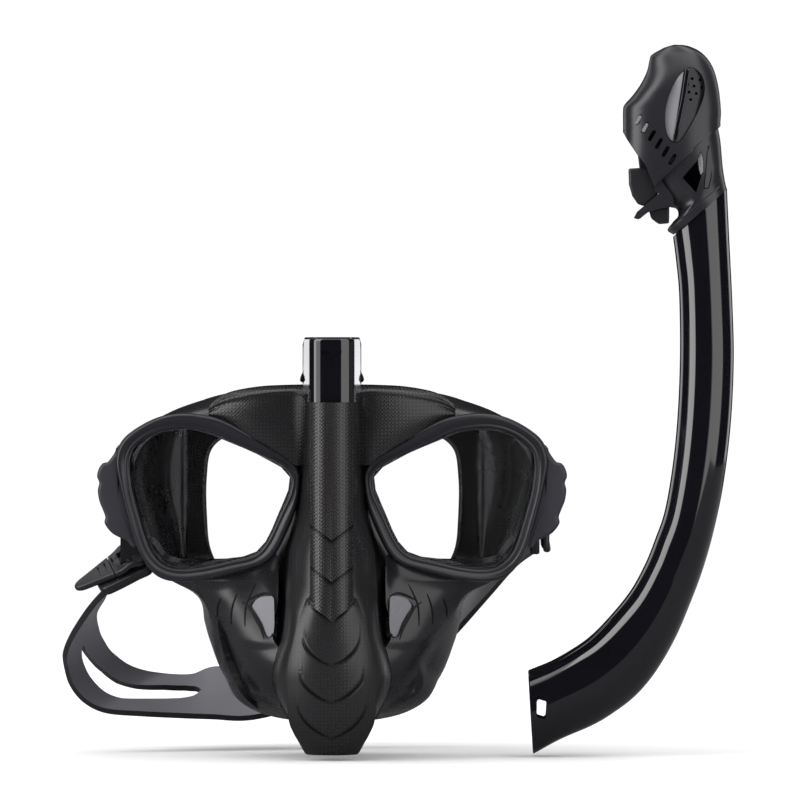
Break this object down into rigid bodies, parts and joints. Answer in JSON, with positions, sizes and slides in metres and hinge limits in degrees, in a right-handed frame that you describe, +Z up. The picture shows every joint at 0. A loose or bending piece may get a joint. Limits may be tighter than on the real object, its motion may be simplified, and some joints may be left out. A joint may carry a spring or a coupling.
{
  "type": "full face snorkel mask",
  "caption": "Full-face snorkelling mask with two lenses, a central air spine and stub, split head strap, and a detached J-shaped tube with a float-valve dry top.",
  "frame": {"origin": "symmetry plane of the mask, lens-centre height, rear plane of the face seal", "axes": "+Z up as worn, the wearer looks along -Y, +X to the side where the loose tube stands"},
  "size_m": [0.2807, 0.1525, 0.2959],
  "materials": {
    "silicone": "smooth satin-gloss silicone",
    "pocket": "matte silicone",
    "lens": "clear, polished",
    "bezel": "satin moulding",
    "weave": "fine woven-fibre print under a satin coat",
    "gloss": "high gloss",
    "satin": "satin moulding",
    "inner": "plain moulding",
    "strap": "matte silicone",
    "seal": "soft rubber",
    "steel": "plain pin"
  },
  "bodies": {
    "mask": {"face_skirt": "silicone", "breathing_pocket": "pocket", "lens_left": "lens", "lens_right": "lens", "lens_bezel_left": "bezel", "lens_bezel_right": "bezel", "lens_gasket_left": "seal", "lens_gasket_right": "seal", "brow_left": "weave", "brow_right": "weave", "spine_cover": "weave", "lower_cover": "weave", "duct_channel": "inner", "mouth_chamber": "inner", "tube_spigot": "gloss", "spigot_seal": "seal", "purge_seat": "inner", "purge_grille": "satin", "inhale_seat_left": "inner", "inhale_seat_right": "inner", "nose_frame_left": "inner", "nose_frame_right": "inner", "strap_lug_left": "silicone", "strap_lug_right": "silicone", "lug_pin_left": "steel", "lug_pin_right": "steel"},
    "harness": {"head_strap": "strap", "buckle_left": "satin", "buckle_right": "satin", "strap_roller_left": "steel", "strap_roller_right": "steel"},
    "snorkel": {"snorkel_tube": "gloss", "dry_top_base": "satin", "dry_top_cap": "satin", "vent_panel": "satin", "seat_ring": "inner", "drain_flap": "seal", "float_shelf": "satin", "float_pin_front": "steel", "float_pin_rear": "steel"},
    "float": {"float_block": "satin", "float_arm": "inner", "float_seal": "seal"},
    "catch_left": {"snap_catch_left": "gloss"},
    "catch_right": {"snap_catch_right": "gloss"},
    "inhale_left": {"inhale_flap_left": "seal"},
    "inhale_right": {"inhale_flap_right": "seal"},
    "purge": {"purge_flap": "seal"},
    "lever_left": {"release_lever_left": "satin"},
    "lever_right": {"release_lever_right": "satin"}
  },
  "joints": [
    {"name": "tube_lift", "type": "slide", "parent": "mask", "child": "snorkel", "axis": [0.7071, 0, 0.7071], "range_m": [0, 0.12]},
    {"name": "strap_swing", "type": "hinge", "parent": "mask", "child": "harness", "pos_m": [0, -0.034, -0.015], "axis": [1, 0, 0], "range_deg": [0, 30]},
    {"name": "float_hinge", "type": "hinge", "parent": "snorkel", "child": "float", "pos_m": [0.147, -0.04, 0.147], "axis": [0, 1, 0], "range_deg": [0, 18]},
    {"name": "catch_left_press", "type": "slide", "parent": "mask", "child": "catch_left", "axis": [1, 0, 0], "range_m": [0, 0.0012], "stiffness_N_per_m": 400},
    {"name": "inhale_left_hinge", "type": "hinge", "parent": "mask", "child": "inhale_left", "pos_m": [-0.02486, -0.03415, -0.0358], "axis": [0.5101, -0.8601, 0], "range_deg": [0, 20], "stiffness_Nm_per_rad": 0.0006},
    {"name": "catch_right_press", "type": "slide", "parent": "mask", "child": "catch_right", "axis": [-1, 0, 0], "range_m": [0, 0.0012], "stiffness_N_per_m": 400},
    {"name": "inhale_right_hinge", "type": "hinge", "parent": "mask", "child": "inhale_right", "pos_m": [0.02486, -0.03415, -0.0358], "axis": [0.5101, 0.8601, 0], "range_deg": [0, 20], "stiffness_Nm_per_rad": 0.0006},
    {"name": "purge_hinge", "type": "hinge", "parent": "mask", "child": "purge", "pos_m": [0, -0.0555, -0.0711], "axis": [1, 0, 0], "range_deg": [0, 25], "stiffness_Nm_per_rad": 0.002, "springref_deg": -5.73},
    {"name": "lever_left_hinge", "type": "hinge", "parent": "harness", "child": "lever_left", "pos_m": [-0.0946, -0.0353, -0.02854], "axis": [-0.2328, 0.8662, 0.4422], "range_deg": [0, 18], "stiffness_Nm_per_rad": 0.02},
    {"name": "lever_right_hinge", "type": "hinge", "parent": "harness", "child": "lever_right", "pos_m": [0.0882, -0.02321, -0.01543], "axis": [0, -0.04, -0.9992], "range_deg": [0, 18], "stiffness_Nm_per_rad": 0.02}
  ]
}
